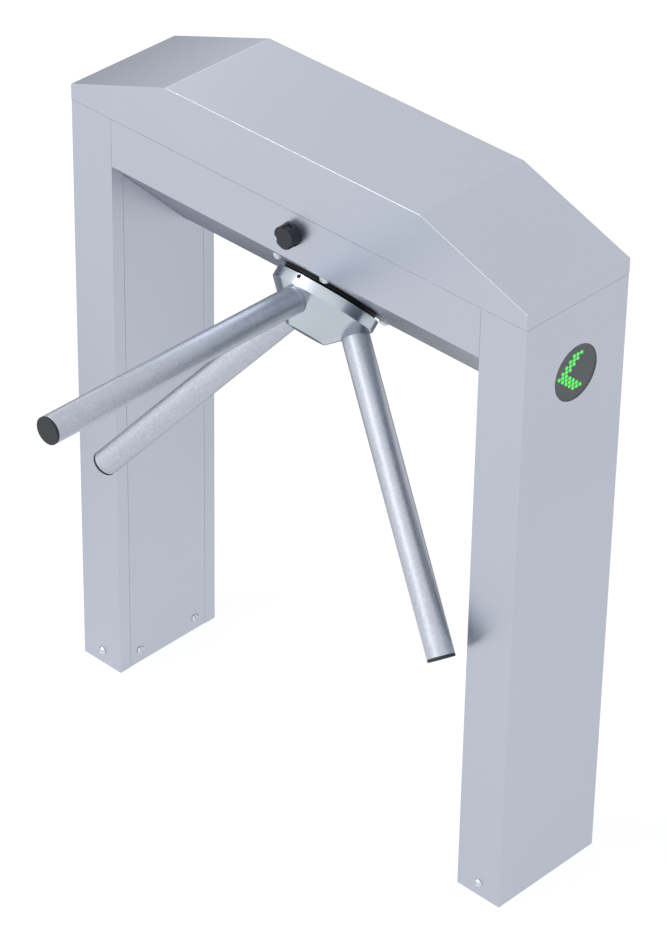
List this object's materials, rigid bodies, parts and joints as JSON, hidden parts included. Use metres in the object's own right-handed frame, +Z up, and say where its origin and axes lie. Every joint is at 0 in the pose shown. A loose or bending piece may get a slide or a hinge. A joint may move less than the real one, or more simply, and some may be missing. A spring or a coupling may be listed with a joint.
{
  "type": "tripod turnstile",
  "caption": "Waist-high tripod turnstile: bridge cabinet on posts, sloped front, lift-off lid, arms on a rotor that leans 45 degrees, lock, index and damper inside.",
  "frame": {"origin": "on the floor, midway between the two posts, at the centre of the anchor hole pattern", "axes": "+Z up, X along both posts, -Y towards the sloped front that the arms stand out of; people walk along X in front of it"},
  "size_m": [0.807, 0.616, 1],
  "materials": {
    "body_steel": "satin-ground stainless sheet",
    "zinc_plate": "zinc-plated sheet steel",
    "screw_steel": "bright plated screws and pins",
    "machined_alloy": "turned aluminium",
    "bearing_steel": "ground steel",
    "hub_steel": "satin-polished stainless steel",
    "arm_steel": "brushed stainless tube",
    "dark_steel": "black-oxide steel",
    "pawl_brass": "cast brass, machined edges",
    "black_plastic": "moulded black plastic",
    "knob_plastic": "moulded black grip, fine grain",
    "roller_rubber": "hard black polyurethane",
    "gear_plastic": "cream acetal gear",
    "encoder_plastic": "thin dark slotted disc",
    "circuit_board": "green solder mask",
    "terminal_plastic": "moulded green terminal block",
    "lens_smoke": "smoked clear acrylic",
    "lamp_mask": "matt black board mask",
    "lamp_green": "lit green lamps"
  },
  "bodies": {
    "frame": {"post_left": "body_steel", "post_right": "body_steel", "panel_left": "body_steel", "panel_right": "body_steel", "header": "body_steel", "base_left": "zinc_plate", "base_right": "zinc_plate", "post_screws": "screw_steel", "frame_bolts": "screw_steel", "slope_screws": "screw_steel", "chassis": "zinc_plate", "standoffs": "screw_steel", "bridge_plate": "zinc_plate", "bearing_housing": "machined_alloy", "housing_screws": "screw_steel", "bearing_outer": "bearing_steel", "seal_flange": "black_plastic", "pivot_pins": "bearing_steel", "solenoids": "black_plastic", "index_spring": "dark_steel", "damper_body": "black_plastic", "encoder_sensor": "black_plastic", "control_board": "circuit_board", "board_parts": "black_plastic", "power_supply": "zinc_plate", "terminal_strip": "terminal_plastic", "lens_left": "lens_smoke", "lens_right": "lens_smoke", "lens_rings": "black_plastic", "lamp_boards": "lamp_mask", "lamps": "lamp_green"},
    "rotor": {"bearing_inner": "bearing_steel", "shaft": "bearing_steel", "shaft_key": "bearing_steel", "shaft_collar": "bearing_steel", "hub": "hub_steel", "hub_bolt": "screw_steel", "hub_cap": "hub_steel", "arm_front": "arm_steel", "arm_left": "arm_steel", "arm_right": "arm_steel", "arm_plugs": "black_plastic", "arm_set_screws": "dark_steel", "lock_disc": "bearing_steel", "index_cam": "bearing_steel", "damper_gear": "gear_plastic", "encoder_disc": "encoder_plastic"},
    "left_pawl": {"pawl_left": "pawl_brass"},
    "right_pawl": {"pawl_right": "pawl_brass"},
    "left_plunger": {"plunger_left": "bearing_steel"},
    "right_plunger": {"plunger_right": "bearing_steel"},
    "lever": {"index_lever": "zinc_plate"},
    "roller": {"index_roller": "roller_rubber"},
    "pinion": {"damper_pinion": "gear_plastic"},
    "latch": {"knob": "knob_plastic", "latch_tongue": "screw_steel"},
    "lid": {"cover": "body_steel"}
  },
  "joints": [
    {"name": "rotor_spin", "type": "hinge", "parent": "frame", "child": "rotor", "pos_m": [0, -0.0009, 0.7746], "axis": [0, -0.7071, -0.7071], "continuous": true},
    {"name": "damper_spin", "type": "hinge", "parent": "frame", "child": "pinion", "pos_m": [-0.04727, 0.06227, 0.82598], "axis": [0, -0.7071, -0.7071], "continuous": true},
    {"name": "left_pawl_swing", "type": "hinge", "parent": "frame", "child": "left_pawl", "pos_m": [-0.06391, 0.01275, 0.83732], "axis": [0, 0.7071, 0.7071], "range_deg": [0, 12], "stiffness_Nm_per_rad": 0.5, "springref_deg": -8.59},
    {"name": "right_pawl_swing", "type": "hinge", "parent": "frame", "child": "right_pawl", "pos_m": [0.06391, 0.01275, 0.83732], "axis": [0, -0.7071, -0.7071], "range_deg": [0, 12], "stiffness_Nm_per_rad": 0.5, "springref_deg": -8.59},
    {"name": "left_plunger_pull", "type": "slide", "parent": "frame", "child": "left_plunger", "axis": [0.866, -0.3536, 0.3536], "range_m": [0, 0.0053]},
    {"name": "right_plunger_pull", "type": "slide", "parent": "frame", "child": "right_plunger", "axis": [-0.866, -0.3536, 0.3536], "range_m": [0, 0.0053]},
    {"name": "index_swing", "type": "hinge", "parent": "frame", "child": "lever", "pos_m": [0.06, 0.00758, 0.87077], "axis": [0, -0.7071, -0.7071], "range_deg": [-3.7, 0], "stiffness_Nm_per_rad": 0.6, "springref_deg": -11.46},
    {"name": "roller_spin", "type": "hinge", "parent": "lever", "child": "roller", "pos_m": [0.0484, 0.04718, 0.82268], "axis": [0, -0.7071, -0.7071], "continuous": true},
    {"name": "latch_turn", "type": "hinge", "parent": "frame", "child": "latch", "pos_m": [0.005, -0.095, 0.8795], "axis": [0, -1, 0], "range_deg": [-90, 0]},
    {"name": "lid_lift", "type": "slide", "parent": "frame", "child": "lid", "axis": [0, 0, 1], "range_m": [0, 0.15]}
  ],
  "couplings": [
    {"joint": "damper_spin", "follows": "rotor_spin", "ratio": -3},
    {"joint": "left_plunger_pull", "follows": "left_pawl_swing", "m_per_rad": 0.025},
    {"joint": "right_plunger_pull", "follows": "right_pawl_swing", "m_per_rad": 0.025}
  ]
}
